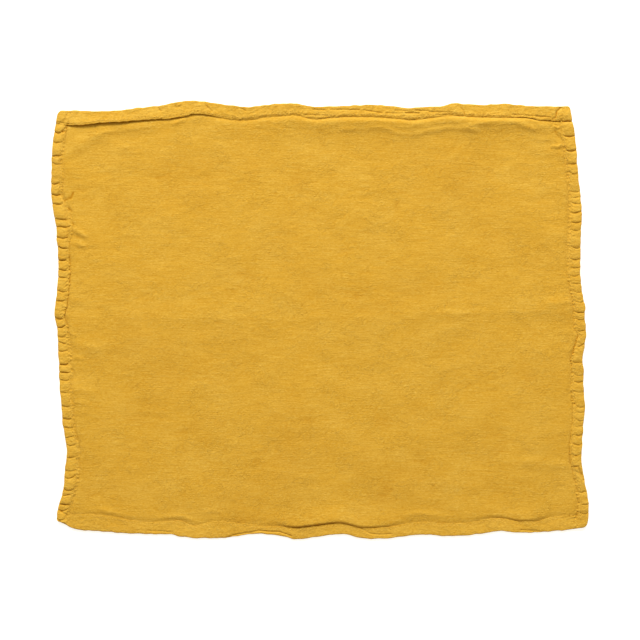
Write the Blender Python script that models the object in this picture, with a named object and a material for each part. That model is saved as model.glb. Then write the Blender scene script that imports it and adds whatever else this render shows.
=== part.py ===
"""A washed linen placemat that lies flat: one cloth with a folded hem all round.

The mat lies on z = 0 with its long sides along X.  Its face is a soft, uneven
cloth.  The side hems are drawn up by their stitching into a row of puckers, and
the top and bottom hems run smooth, standing proud of the cloth in places.
"""
from collections import namedtuple
import math

import bmesh
import bpy

MM = 0.001

# Driving dimensions, in millimetres
CUT_WIDTH = 450.0       # across the side hems, before washing made the edges wander
CUT_DEPTH = 365.0       # across the top and bottom hems
BODY_THICK = 1.1        # one layer of washed linen with its nap and crumple
HEM_THICK = 2.4         # three layers of the same cloth, pressed by the stitching
CORNER_EXTRA = 0.6      # the side hems are folded over the ends of the other two
PUCKER_DROP = 0.9       # how far the deepest gather sinks into a side hem
PUCKER_SWELL = 0.09     # height of a pucker for each millimetre of its length
PUCKER_TOP = 1.1        # no pucker stands higher than this
SCALLOP = 0.5           # how far the deepest gather draws the edge in
EDGE_NOSE = 0.5         # the folded edge is widest at this share of its height
STITCHED_SWELL = 0.35   # the stitching holds the cloth's folds down to this share

# The surface is a grid of bands, counted 0..3 in both directions:
# 0-1 one hem, from its folded edge to its stitching, 1-2 the cloth, 2-3 the other hem.
BODY_INSET = 0.012      # from the stitching to the first row of the open cloth
BODY_COLUMNS = 54
BODY_ROWS = 42
HEM_COLUMNS = 84        # along the top and bottom hems

# Across a hem: place from the folded edge (0) to the stitching (1), the share of
# the hem's height there, and the share of a pucker's height
Level = namedtuple("Level", "place height pucker")
LEVELS = [Level(*row) for row in (
    (0.00, 0.86, 0.80),
    (0.11, 0.86, 0.80),
    (0.38, 1.00, 1.00),
    (0.72, 0.98, 1.00),
    (0.92, 0.84, 0.80),
    (1.00, 0.00, 0.25),
)]
UNDER_LEVEL = LEVELS[1].place   # the underside is flat from here inwards

# A row of points along a side hem: its band count at the edge and at the stitching,
# and how far the hem swells there (or sinks, below 0), in millimetres
Row = namedtuple("Row", "edge_band seam_band pucker")

# Each edge: place along the side, how far it wanders out past the cut size, the
# hem's width, and how far the hem's inner side stands up.  All in millimetres.
Edge = namedtuple("Edge", "at out hem lift")
TOP_EDGE = [Edge(*row) for row in (
    (-226.0, -2.3, 12.0, 0.3),
    (-204.0, -2.1, 13.0, 1.2),
    (-190.0, -2.9, 10.8, 1.4),
    (-172.0, -1.5, 11.2, 1.2),
    (-157.0, 0.3, 11.6, 1.0),
    (-139.0, 2.1, 12.0, 0.9),
    (-121.0, 5.6, 12.0, 0.8),
    (-107.0, 6.4, 10.6, 0.7),
    (-97.0, 5.5, 10.7, 0.5),
    (-88.0, 3.9, 11.2, 0.2),
    (-76.0, 2.3, 11.1, 0.0),
    (-60.0, 1.2, 10.0, 0.0),
    (-47.0, 2.7, 9.4, 0.1),
    (-38.0, 3.9, 9.3, 0.1),
    (-21.0, 4.1, 9.7, 0.1),
    (-5.0, 1.4, 10.2, 0.2),
    (8.0, 1.4, 9.7, 0.3),
    (27.0, 2.3, 9.8, 0.3),
    (49.0, 2.9, 10.0, 0.2),
    (71.0, 0.9, 9.6, 0.3),
    (78.0, 0.3, 9.9, 0.3),
    (88.0, 1.3, 9.9, 0.2),
    (103.0, 1.6, 8.9, 0.2),
    (110.0, 3.3, 9.6, 0.1),
    (118.0, 4.3, 9.8, 0.1),
    (125.0, 3.7, 10.4, 0.1),
    (138.0, 2.6, 10.3, 0.2),
    (157.0, 3.8, 9.5, 0.3),
    (176.0, 2.3, 9.6, 0.2),
    (191.0, 1.5, 11.0, 0.1),
    (207.0, 1.5, 12.0, 0.0),
    (217.0, 2.0, 12.2, 0.0),
)]
BOTTOM_EDGE = [Edge(*row) for row in (
    (-227.0, -11.5, 10.8, 0.0),
    (-220.0, -8.2, 11.0, 0.0),
    (-217.0, -5.4, 12.0, 0.0),
    (-212.0, -2.9, 12.6, 0.0),
    (-205.0, -1.5, 14.0, 0.0),
    (-185.0, 0.0, 15.6, 0.0),
    (-172.0, 0.9, 13.4, 0.0),
    (-157.0, 1.7, 11.8, 0.0),
    (-142.0, 2.1, 12.1, 0.0),
    (-127.0, 2.4, 13.8, 0.0),
    (-120.0, 4.0, 15.6, 0.0),
    (-109.0, 5.2, 12.1, 0.0),
    (-95.0, 5.4, 13.8, 0.0),
    (-83.0, 5.2, 14.0, 0.0),
    (-64.0, 2.4, 9.6, 0.0),
    (-53.0, 1.5, 7.0, 0.0),
    (-35.0, 3.3, 8.2, 0.0),
    (-21.0, 6.4, 10.0, 0.0),
    (-11.0, 5.4, 10.1, 0.0),
    (3.0, 3.3, 10.1, 0.0),
    (15.0, 2.0, 10.2, 0.0),
    (23.0, 2.1, 9.0, 0.0),
    (36.0, 5.2, 8.6, 0.0),
    (56.0, 6.0, 10.2, 0.0),
    (73.0, 3.6, 11.2, 0.0),
    (89.0, 2.4, 11.3, 0.0),
    (108.0, 3.5, 11.0, 0.0),
    (126.0, 3.3, 11.7, 0.0),
    (135.0, 2.1, 11.5, 0.0),
    (153.0, -0.7, 11.3, 0.0),
    (172.0, 0.5, 10.2, 0.0),
    (187.0, 0.5, 11.2, 0.0),
    (202.0, -0.6, 14.4, 0.0),
    (212.0, -1.6, 13.6, 0.0),
    (221.0, -3.0, 12.4, 0.0),
    (230.0, -3.9, 12.2, 0.0),
)]
LEFT_EDGE = [Edge(*row) for row in (
    (-172.0, 1.8, 11.0, 0.0),
    (-166.0, 1.4, 10.9, 0.0),
    (-151.0, -2.4, 11.5, 0.0),
    (-138.0, -4.8, 12.2, 0.0),
    (-125.0, -5.7, 11.7, 0.0),
    (-113.0, -6.8, 12.0, 0.0),
    (-102.0, -5.7, 10.6, 0.0),
    (-87.0, -3.1, 10.4, 0.0),
    (-76.0, -2.5, 10.6, 0.0),
    (-59.0, -0.8, 10.3, 0.0),
    (-46.0, -0.3, 12.4, 0.0),
    (-38.0, 0.0, 10.6, 0.0),
    (-30.0, 0.4, 11.9, 0.0),
    (-14.0, 1.2, 9.9, 0.0),
    (-5.0, 1.7, 9.8, 0.0),
    (5.0, 3.6, 9.0, 0.0),
    (12.0, 3.1, 10.3, 0.0),
    (29.0, 1.4, 10.4, 0.0),
    (39.0, 0.7, 10.5, 0.0),
    (59.0, 0.8, 10.4, 0.0),
    (66.0, 1.6, 11.0, 0.0),
    (80.0, 2.2, 14.6, 0.0),
    (91.0, 4.4, 14.4, 0.0),
    (103.0, 5.9, 11.2, 0.0),
    (110.0, 6.4, 9.2, 0.0),
    (122.0, 6.4, 10.8, 0.0),
    (134.0, 6.2, 9.2, 0.0),
    (148.0, 5.7, 10.5, 0.0),
    (156.0, 4.7, 10.3, 0.0),
    (168.0, 2.7, 10.0, 0.0),
    (181.0, 0.2, 10.0, 0.0),
)]
RIGHT_EDGE = [Edge(*row) for row in (
    (-179.0, 4.4, 10.6, 0.0),
    (-171.0, 6.1, 10.4, 0.0),
    (-159.0, 6.5, 9.6, 0.0),
    (-146.0, 4.6, 8.5, 0.0),
    (-131.0, 1.6, 8.8, 0.0),
    (-121.0, 0.2, 10.2, 0.0),
    (-105.0, 0.9, 10.9, 0.0),
    (-87.0, 2.3, 9.9, 0.0),
    (-73.0, 3.1, 10.6, 0.0),
    (-62.0, 2.1, 11.6, 0.0),
    (-42.0, 2.2, 10.5, 0.0),
    (-33.0, 1.2, 10.8, 0.0),
    (-23.0, 2.9, 8.9, 0.0),
    (-13.0, 4.1, 7.4, 0.0),
    (-6.0, 3.9, 10.3, 0.0),
    (6.0, 3.2, 10.6, 0.0),
    (10.0, 3.6, 10.5, 0.0),
    (20.0, 1.6, 10.5, 0.0),
    (35.0, -0.4, 11.4, 0.0),
    (54.0, -0.8, 11.4, 0.0),
    (71.0, -0.5, 11.2, 0.0),
    (94.0, 0.4, 11.4, 0.0),
    (108.0, -0.8, 10.4, 0.0),
    (126.0, -2.6, 10.4, 0.0),
    (146.0, -4.1, 11.2, 0.0),
    (160.0, -5.6, 11.6, 0.0),
    (174.0, -8.0, 10.4, 0.0),
    (184.0, -9.2, 9.6, 0.0),
)]

# Gathers in the side hems: place along the side, depth (1 is the deepest), and how
# much higher its end at the stitching lies than its end at the edge.  Millimetres.
Gather = namedtuple("Gather", "at depth slant")
LEFT_GATHERS = [Gather(*row) for row in (
    (-150.0, 0.6, 1.5),
    (-145.5, 0.7, 0.0),
    (-135.0, 0.9, 1.5),
    (-129.0, 0.6, 0.0),
    (-117.5, 1.0, 3.0),
    (-107.0, 0.6, 0.0),
    (-100.0, 0.7, 2.0),
    (-92.5, 1.0, 0.0),
    (-84.5, 1.0, 0.0),
    (-74.0, 0.7, 0.0),
    (-62.0, 0.6, 0.0),
    (-51.0, 0.6, 0.0),
    (-45.0, 0.9, 0.0),
    (-38.0, 1.0, 0.0),
    (-26.0, 0.7, 0.0),
    (-19.5, 0.6, -2.0),
    (-14.0, 0.5, 0.0),
    (-5.5, 1.0, 3.0),
    (1.5, 1.0, -2.5),
    (16.5, 0.6, 0.0),
    (25.5, 0.7, 0.0),
    (37.5, 0.9, 0.0),
    (43.5, 0.7, 0.0),
    (52.0, 1.0, 0.0),
    (62.5, 1.0, -2.5),
    (71.0, 0.7, 0.0),
    (80.5, 1.0, 0.0),
    (87.5, 0.6, 0.0),
    (100.0, 1.0, 0.0),
    (108.0, 0.8, 0.0),
    (118.0, 0.7, 0.0),
    (135.0, 0.4, 0.0),
    (142.0, 1.0, 0.0),
    (153.5, 0.5, 0.0),
    (162.0, 0.7, 0.0),
)]
RIGHT_GATHERS = [Gather(*row) for row in (
    (-158.5, 0.7, 0.0),
    (-147.5, 1.0, 0.0),
    (-131.0, 0.5, 2.0),
    (-116.0, 0.7, 0.0),
    (-106.5, 0.6, 0.0),
    (-98.5, 0.6, 0.0),
    (-91.0, 0.6, 0.0),
    (-86.0, 0.8, 2.0),
    (-78.5, 0.6, 0.0),
    (-74.5, 1.0, 2.5),
    (-61.0, 0.7, 0.0),
    (-53.0, 1.0, 0.0),
    (-46.5, 0.7, 0.0),
    (-36.0, 0.6, 0.0),
    (-22.0, 0.5, -3.0),
    (-9.0, 0.7, -2.5),
    (1.0, 0.8, 0.0),
    (7.0, 1.0, 0.0),
    (16.5, 0.7, 0.0),
    (24.5, 0.6, 0.0),
    (31.5, 0.6, 0.0),
    (39.0, 0.7, 0.0),
    (45.5, 0.6, 0.0),
    (52.5, 0.7, 0.0),
    (63.0, 0.7, 0.0),
    (77.5, 0.6, 0.0),
    (84.5, 0.6, 0.0),
    (93.0, 1.0, 0.0),
    (101.0, 0.6, 0.0),
    (106.0, 0.7, 0.0),
    (111.0, 0.6, 0.0),
    (126.5, 0.7, 0.0),
    (135.0, 0.6, 0.0),
    (146.0, 1.0, 0.0),
    (158.5, 0.8, 0.0),
)]

# Folds in the cloth: the line of the crest, its width and its height.  Millimetres.
Fold = namedtuple("Fold", "crest width height")
FOLDS = [Fold(*row) for row in (
    # the press fold across the middle
    (((-229, 6), (-190, 2), (-35, 1), (103, 5), (229, 9)), 5.0, 0.9),
    # cloth swelling up against the top hem
    (((-5, 169), (34, 170), (70, 168), (103, 170), (138, 170), (160, 171)), 4.5, 0.8),
    (((160, 172), (186, 166), (211, 155)), 4.5, 1.0),
    (((-200, 149), (-150, 157), (-95, 167), (-65, 163)), 7.0, 0.7),
    # cloth swelling up against the bottom hem
    (((-42, -173), (-26, -174), (0, -172), (20, -170), (38, -174)), 4.5, 1.6),
    (((38, -174), (60, -172), (75, -169), (125, -170)), 4.5, 0.8),
    (((125, -170), (153, -166), (172, -168), (187, -167)), 4.5, 1.2),
    (((-205, -160), (-185, -161), (-157, -168), (-128, -166), (-105, -170), (-80, -168)), 5.0, 0.7),
    # short folds that run in from the gathers of the side hems
    (((-214, 128), (-188, 116)), 6.0, 0.7),
    (((-217, 17), (-201, 15)), 4.0, 0.6),
    (((-214, -21), (-188, -28)), 4.5, 0.7),
    (((-210, -60), (-184, -71)), 4.5, 0.7),
    (((217, 16), (198, 14)), 4.0, 0.8),
    (((209, 142), (183, 147)), 4.5, 0.6),
    (((209, 113), (180, 108)), 5.0, 0.6),
    (((217, -126), (178, -122)), 4.5, 0.6),
)]

CLOTH_COLOUR = (0.735, 0.402, 0.048)    # mustard yellow, linear RGB
CLOTH_ROUGHNESS = 0.92


def table_value(table, at, column):
    """A column of an edge table, read on a smooth curve through its rows."""
    rows = [row for row in table if row.at <= at]
    index = min(max(len(rows) - 1, 0), len(table) - 2)
    before, after = table[index], table[index + 1]
    first, last = table[max(index - 1, 0)], table[min(index + 2, len(table) - 1)]
    span = after.at - before.at
    start, end = getattr(before, column), getattr(after, column)
    start_slope = (end - getattr(first, column)) / (after.at - first.at) * span
    end_slope = (getattr(last, column) - start) / (last.at - before.at) * span
    t = min(max((at - before.at) / span, 0.0), 1.0)
    return ((2 * t ** 3 - 3 * t ** 2 + 1) * start + (t ** 3 - 2 * t ** 2 + t) * start_slope
            + (3 * t ** 2 - 2 * t ** 3) * end + (t ** 3 - t ** 2) * end_slope)


def stops(low_edge, high_edge, half_size, at):
    """Where the bands begin and end on a line across the mat, at one place along it."""
    low = -half_size - table_value(low_edge, at, "out")
    high = half_size + table_value(high_edge, at, "out")
    return (low, low + table_value(low_edge, at, "hem"),
            high - table_value(high_edge, at, "hem"), high)


def stops_across(y):
    return stops(LEFT_EDGE, RIGHT_EDGE, CUT_WIDTH / 2, y)


def stops_along(x):
    return stops(BOTTOM_EDGE, TOP_EDGE, CUT_DEPTH / 2, x)


def band_place(marks, band):
    """The distance at which a band count, 0..3, lies between its marks."""
    index = min(int(band), 2)
    return marks[index] + (marks[index + 1] - marks[index]) * (band - index)


def body_band(marks, distance):
    """The band count of a distance that lies in the open cloth."""
    return 1 + (distance - marks[1]) / (marks[2] - marks[1])


def plan(across, along):
    """The x and y of a place given by its band counts across and along the mat."""
    x = y = 0.0
    for _ in range(6):
        x = band_place(stops_across(y), across)
        y = band_place(stops_along(x), along)
    return x, y


def distance_to_line(x, y, line):
    """The distance from a point to the nearest stretch of a line."""
    nearest = math.inf
    for (ax, ay), (bx, by) in zip(line, line[1:]):
        length = math.hypot(bx - ax, by - ay)
        t = ((x - ax) * (bx - ax) + (y - ay) * (by - ay)) / length ** 2
        t = min(max(t, 0.0), 1.0)
        nearest = min(nearest, math.hypot(x - ax - t * (bx - ax), y - ay - t * (by - ay)))
    return nearest


def swell(x, y):
    """How far the folds lift the cloth."""
    return sum(fold.height * math.exp(-(distance_to_line(x, y, fold.crest) / fold.width) ** 2)
               for fold in FOLDS)


def depth_in(band):
    """How deep a band count lies inside the nearer edge: 0 there, 1 at its stitching."""
    return min(band, 3 - band)


def level_share(band, column):
    """A column of the LEVELS table for a band count, and 0 on the open cloth."""
    depth = depth_in(band)
    for lower, upper in zip(LEVELS, LEVELS[1:]):
        if depth <= upper.place:
            t = (depth - lower.place) / (upper.place - lower.place)
            return getattr(lower, column) * (1 - t) + getattr(upper, column) * t
    return 0.0


def pucker_rows(gathers, marks):
    """Rows along a side hem: one in each gather and two on the pucker that follows."""
    rows = [Row(1.0, 1.0, 0.0)]
    ends = [Gather(marks[1], 0.0, 0.0)] + gathers + [Gather(marks[2], 0.0, 0.0)]
    for here, after in zip(ends, ends[1:]):
        length = after.at - here.at
        rise = min(length * PUCKER_SWELL, PUCKER_TOP)
        for t in (1 / 3, 2 / 3):
            at = here.at + length * t
            slant = (here.slant + (after.slant - here.slant) * t) / 2
            rows.append(Row(body_band(marks, at - slant), body_band(marks, at + slant), rise))
        rows.append(Row(body_band(marks, after.at - after.slant / 2),
                        body_band(marks, after.at + after.slant / 2),
                        -after.depth * PUCKER_DROP))
    return rows


class Surface:
    """The points of the mat, each made once and found again by its band counts."""

    def __init__(self):
        self.bm = bmesh.new()
        self.found = {}

    def point(self, across, along, pucker=0.0, under=False):
        under = under and min(depth_in(across), depth_in(along)) > 0
        key = (round(across, 6), round(along, 6), under)
        if key not in self.found:
            self.found[key] = self.bm.verts.new(self.place(across, along, pucker, under))
        return self.found[key]

    def place(self, across, along, pucker, under):
        """The position of a point, in metres."""
        x, y = plan(across, along)
        if under:
            return x * MM, y * MM, 0.0
        depth = min(depth_in(across), depth_in(along))
        height = BODY_THICK + swell(x, y) * (STITCHED_SWELL if depth <= 1 else 1.0)
        side, end = level_share(across, "height"), level_share(along, "height")
        height += (HEM_THICK - BODY_THICK) * max(side, end) + CORNER_EXTRA * min(side, end)
        height += pucker * level_share(across, "pucker")
        nearer_edge = min((BOTTOM_EDGE, along), (TOP_EDGE, 3 - along), key=lambda row: row[1])[0]
        height += table_value(nearer_edge, x, "lift") * end * min(depth_in(along), 1.0)
        if depth <= 0:
            height *= EDGE_NOSE
            x -= math.copysign(SCALLOP, x) * max(-pucker, 0.0) / PUCKER_DROP
        return x * MM, y * MM, height * MM

    def face(self, *points):
        corners = list(dict.fromkeys(points))
        if len(corners) > 2:
            self.bm.faces.new(corners)

    def quads(self, near, far):
        """Fills between two runs of points that step together."""
        for a, b, c, d in zip(near, near[1:], far[1:], far):
            self.face(a, b, c, d)

    def zip_up(self, near, far):
        """Fills between two runs that step differently, taking the shorter side each time."""
        i = j = 0
        while i < len(near) - 1 or j < len(far) - 1:
            near_left, far_left = i < len(near) - 1, j < len(far) - 1
            if near_left and far_left:
                step_near = (near[i + 1].co - far[j].co).length
                step_far = (far[j + 1].co - near[i].co).length
                take_near = step_near < step_far
            else:
                take_near = near_left
            if take_near:
                self.face(near[i], near[i + 1], far[j])
                i += 1
            else:
                self.face(near[i], far[j + 1], far[j])
                j += 1


def hem_bands(high):
    """The band counts across a hem, from its folded edge to its stitching."""
    return [3 - level.place if high else level.place for level in LEVELS]


def add_side_hem(surface, gathers, high):
    """A side hem with its corners; gives its points at the stitching and underneath."""
    marks = stops_along(CUT_WIDTH / 2 if high else -CUT_WIDTH / 2)
    rows = [Row(level.place, level.place, 0.0) for level in LEVELS[:-1]]
    rows += pucker_rows(gathers, marks)
    rows += [Row(3 - level.place, 3 - level.place, 0.0) for level in reversed(LEVELS[:-1])]

    def run(across, under=False):
        depth = depth_in(across)
        return [surface.point(across, row.edge_band + (row.seam_band - row.edge_band) * depth,
                              row.pucker, under) for row in rows]

    runs = [run(across) for across in hem_bands(high)]
    for near, far in zip(runs, runs[1:]):
        surface.quads(near, far)
    under = run(3 - UNDER_LEVEL if high else UNDER_LEVEL, under=True)
    surface.quads(under, runs[0])
    corner_rows = len(LEVELS) - 1
    return runs[-1][corner_rows:-corner_rows], under[1:-1]


def add_end_hem(surface, high):
    """The top or bottom hem between the side hems; gives the same runs of points."""
    columns = [1 + step / HEM_COLUMNS for step in range(HEM_COLUMNS + 1)]

    def run(along, under=False):
        return [surface.point(across, along, under=under) for across in columns]

    runs = [run(along) for along in hem_bands(high)]
    for near, far in zip(runs, runs[1:]):
        surface.quads(near, far)
    band = 3 - UNDER_LEVEL if high else UNDER_LEVEL
    corners = [[surface.point(side, band, under=True) for side in sides]
               for sides in (hem_bands(False)[1:-1], reversed(hem_bands(True)[1:-1]))]
    under = run(band, under=True)
    surface.quads(under, runs[0])
    return runs[-1], corners[0] + under + corners[1]


def add_corner_undersides(surface):
    """The flat strip under each end of the top and bottom edges."""
    for along, under_along in ((0.0, UNDER_LEVEL), (3.0, 3 - UNDER_LEVEL)):
        for sides in (hem_bands(False)[1:], hem_bands(True)[1:]):
            edge = [surface.point(side, along) for side in sides]
            under = [surface.point(side, under_along, under=True) for side in sides]
            surface.quads(edge, under)


def add_body(surface, left, right, bottom, top):
    """The open cloth inside the stitching, on a wider grid than the hems."""
    def place(step, count):
        return 1 + BODY_INSET + (1 - 2 * BODY_INSET) * step / count

    grid = [[surface.point(place(column, BODY_COLUMNS), place(row, BODY_ROWS))
             for column in range(BODY_COLUMNS + 1)] for row in range(BODY_ROWS + 1)]
    for near, far in zip(grid, grid[1:]):
        surface.quads(near, far)
    surface.zip_up(left, [row[0] for row in grid])
    surface.zip_up(right, [row[-1] for row in grid])
    surface.zip_up(bottom, grid[0])
    surface.zip_up(top, grid[-1])


def placemat_mesh():
    surface = Surface()
    left, left_under = add_side_hem(surface, LEFT_GATHERS, high=False)
    right, right_under = add_side_hem(surface, RIGHT_GATHERS, high=True)
    bottom, bottom_under = add_end_hem(surface, high=False)
    top, top_under = add_end_hem(surface, high=True)
    add_corner_undersides(surface)
    add_body(surface, left, right, bottom, top)
    surface.face(*bottom_under, *right_under, *reversed(top_under), *reversed(left_under))
    bmesh.ops.recalc_face_normals(surface.bm, faces=surface.bm.faces)
    mesh = bpy.data.meshes.new("placemat")
    surface.bm.to_mesh(mesh)
    surface.bm.free()
    return mesh


def linen():
    material = bpy.data.materials.new("linen")
    material.use_nodes = True
    shader = material.node_tree.nodes["Principled BSDF"]
    shader.inputs["Base Color"].default_value = (*CLOTH_COLOUR, 1.0)
    shader.inputs["Roughness"].default_value = CLOTH_ROUGHNESS
    shader.inputs["Metallic"].default_value = 0.0
    return material


def main():
    for old in list(bpy.data.objects):
        bpy.data.objects.remove(old)
    mesh = placemat_mesh()
    mesh.materials.append(linen())
    mesh.shade_smooth()
    mesh.set_sharp_from_angle(angle=math.radians(60))
    bpy.context.scene.collection.objects.link(bpy.data.objects.new("placemat", mesh))


main()
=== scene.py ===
"""A washed linen placemat, lying flat and seen from straight above.

The mat is one cloth with a double-folded hem.  Here the cloth, the four folded
hems and their stitching are fine meshes on the frame's own sizes and folds.
"""
from collections import namedtuple
import math

import bpy
import numpy as np
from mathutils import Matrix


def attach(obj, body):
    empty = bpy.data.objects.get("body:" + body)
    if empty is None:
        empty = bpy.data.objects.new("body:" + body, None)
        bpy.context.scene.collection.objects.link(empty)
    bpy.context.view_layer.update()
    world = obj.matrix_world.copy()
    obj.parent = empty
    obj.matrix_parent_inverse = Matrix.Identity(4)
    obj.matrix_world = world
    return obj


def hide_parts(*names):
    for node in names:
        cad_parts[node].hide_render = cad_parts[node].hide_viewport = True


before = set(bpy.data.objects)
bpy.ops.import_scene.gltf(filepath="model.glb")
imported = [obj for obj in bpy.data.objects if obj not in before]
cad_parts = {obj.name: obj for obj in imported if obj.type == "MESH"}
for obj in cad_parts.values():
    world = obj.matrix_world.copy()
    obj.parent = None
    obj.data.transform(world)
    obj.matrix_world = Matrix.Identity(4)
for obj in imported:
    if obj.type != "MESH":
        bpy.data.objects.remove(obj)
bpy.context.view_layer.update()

MM = 0.001

# Sizes, in millimetres
CUT_WIDTH = 450.0         # across the side hems, before washing made the edges wander
CUT_DEPTH = 365.0         # across the top and bottom hems
GROUND = 0.15             # the nap of the underside holds the cloth this far off the table
CLOTH_THICK = 0.7         # one layer of washed linen
HEM_LAYERS = 0.85         # the two folded layers that lie on the cloth in a hem
CORNER_RISE = 0.5         # the side hems are folded over the ends of the other two
PUCKER_DROP = 0.9         # how far a gather of depth 1 sinks into a side hem
PUCKER_SWELL = 0.085      # height of a pucker for each millimetre of its length
PUCKER_TOP = 0.9          # no pucker stands higher than this
PUCKER_FULL = 1.2         # beside a full pucker the two gathers' depths come to this
PUCKER_CREST = 0.28       # where its crest is, as a share of its length from below
PUCKER_MIDDLE = 0.42      # and where that is across the hem, from edge 0 to stitching 1
PUCKER_LIFTS = (0.6, 1.3)  # the puckers' heights differ by these shares
GATHER_ENDS = (0.6, 1.1)  # a gather runs in from the edge to between these depths
GATHER_CURLS = (2.0, 9.0)  # how far its two ends bend down, for a whole hem on each side
GATHER_WAVER = 0.9        # how far it strays from a smooth line
VALLEY_ABOVE = 0.45       # how far its sharp valley reaches above its deepest line
VALLEY_BELOW = 0.75       # and below it
FLANK = 0.9               # a gather's dark side lies this far above its deepest line
SCALLOP = 0.6             # how far a gather of depth 1 draws the edge in
SCALLOP_REACH = 4.0       # how far into the hem it does so
EDGE_RADIUS = 1.1         # the rounding of the hem's folded outer edge
END_WALL = 0.7            # the fold that closes the ends of a side hem is this thick
LIP_RADIUS = 0.9          # the rounding of the hem's inner edge
MELT = 2.5                # a side hem without a crisp edge sinks into the cloth over this
STITCH_INSET = 2.0        # from the hem's inner edge to its line of stitching
STITCH_PITCH = 3.0
STITCH_LENGTH = 2.3
THREAD_RADIUS = 0.22
STITCH_ARCH = 0.16        # how far a stitch's middle stands above its ends
STITCH_SINK = 0.12        # how far its ends dip into the hem
STITCH_SIDES = 6          # faces round a stitch
STITCH_RINGS = 7          # rings of points along it
STITCHED_SWELL = 0.35     # the stitching holds the cloth's folds down to this share
HELD_REACH = 2.5          # and lets go of them over this distance
MEAN_LIFT = 0.50          # how high the cloth lies between its waves
ROLL = 10.0               # how far the cloth's swelling beside a hem reaches
SIDE_RISE = 1.2           # how far from the side stitching the swelling is up
BOTTOM_RISE = 0.6         # the same from the bottom stitching
BOTTOM_SOFT_RISE = 2.2    # how much further where the bottom hem has no crisp edge
TOP_RISE = 2.0            # and from the top stitching
TOP_HELD = 0.42           # the swelling holds the top stitching up by this share of it
TOP_HELD_MOST = 2.0       # of this much swelling at most
TOP_HELD_HEM = 10.5       # and the top hem comes down to its edge over this
CLOTH_GATHER = 0.6        # the gathers run on into the cloth at this share of their depth
CLOTH_GATHER_REACH = 7.5  # and die away over this distance
CLOTH_CRINKLE = 0.85      # strength of the fine creases that the side stitching draws up
HEM_CRINKLE = 0.95        # and of those in the side hems
GROOVE_WIDTH = 0.65       # the groove that the stitching draws into the hem
GROOVE_DEPTH = 0.08       # how deep it is everywhere
GROOVE_PULL = 0.26        # and how much deeper at the ends of the stitches
FLAT_LIP = 0.80           # a melting lip loses this share of the hem's layers
CRISP_LIP = 0.45          # and the crispest lip this much less
CORNER_RADIUS = 3.2       # the rounding of the mat's corners, seen from above

# Shades, as relief: below 0 the colour is darkened as painted shade, above 0 washing has rubbed
# it
HEM_WEAR = 0.50           # the thick hems are rubbed more than the cloth
HOLLOW_PAINTED_SHADE = 1.9        # painted shade in a hem's hollows, for each mm of depth
SEAM_PAINTED_SHADE = 1.3          # painted shade in the cloth beside the crispest hem
SIDE_SEAM_PAINTED_SHADE = 2.2     # painted shade along the inner edge of a side hem, most between its stitches

# Rows of faces
HEM_STEPS = 1180          # along a hem, between the other two hems
HEM_END_STEPS = 40        # in each of its ends
CLOTH_STEPS_ACROSS = 220  # in the open cloth, away from the stitching
CLOTH_STEPS_ALONG = 284
UNDERSIDE_STEP = 4        # the cloth's underside has one row for this many above
PLAN_PASSES = 6           # passes that settle where the lines of two directions cross

# Each edge: place along the side, how far it wanders out past the cut size, the hem's
# width, how high the cloth swells against it, its lip, and how far its inner side stands
# up.  Millimetres, but lip is 1 where the hem's inner edge is a crisp step and 0 where it
# melts into the cloth.
Edge = namedtuple("Edge", "at out hem tuck lip lift", defaults=(0,))
TOP_EDGE = [Edge(*row) for row in (
    (-226, -2.3, 12, 0.2, 0.6, 0.4), (-204, -2.1, 12.7, 0.2, 1, 1.8),
    (-190, -2.9, 10, 0.2, 1, 2.1), (-172, -1.5, 10.6, 0.2, 1, 1.9),
    (-157, 0.3, 11.2, 0.3, 1, 1.4), (-139, 2.1, 11.9, 0.4, 0.9, 1.2),
    (-121, 5.6, 13.8, 0.4, 0.75, 1), (-107, 6.4, 11.6, 0.5, 0.75, 1),
    (-97, 5.5, 11.7, 0.5, 0.7, 0.8), (-88, 3.9, 11.8, 1, 0.45, 0.1), (-76, 2.3, 12.1, 0.8, 0.4),
    (-60, 1.2, 11.3, 0.8, 0.2), (-47, 2.7, 10.3, 1, 0.15), (-38, 3.9, 11.3, 1, 0.05),
    (-21, 4.1, 10.3, 1.3, 0.15), (-5, 1.4, 10.7, 1.7, 0.5, 0.1), (8, 1.4, 9.8, 2.1, 0.4, 0.1),
    (27, 2.3, 9.7, 2.1, 0.3, 0.1), (49, 2.9, 10.8, 2.1, 0.35, 0.1),
    (71, 0.9, 10.2, 1.8, 0.5, 0.1), (78, 0.3, 10.5, 1.7, 0.5, 0.1),
    (88, 1.3, 10.6, 2.1, 0.3, 0.1), (103, 1.6, 8.6, 2.3, 0.3, 0.1), (110, 3.3, 9.6, 2.3, 0.2),
    (118, 4.3, 10.8, 2.3, 0.2), (125, 3.7, 10.6, 2.3, 0.3), (138, 2.6, 10.2, 2.5, 0.55, 0.1),
    (157, 3.8, 12, 2.7, 0.2, 0.1), (176, 2.3, 10.6, 2.1, 0.8, 0.4), (191, 1.5, 12, 1.3, 0.8, 0.4),
    (207, 1.5, 12.8, 0.7, 0.85, 0.5), (217, 2, 12.6, 0.7, 0.5))]
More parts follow.
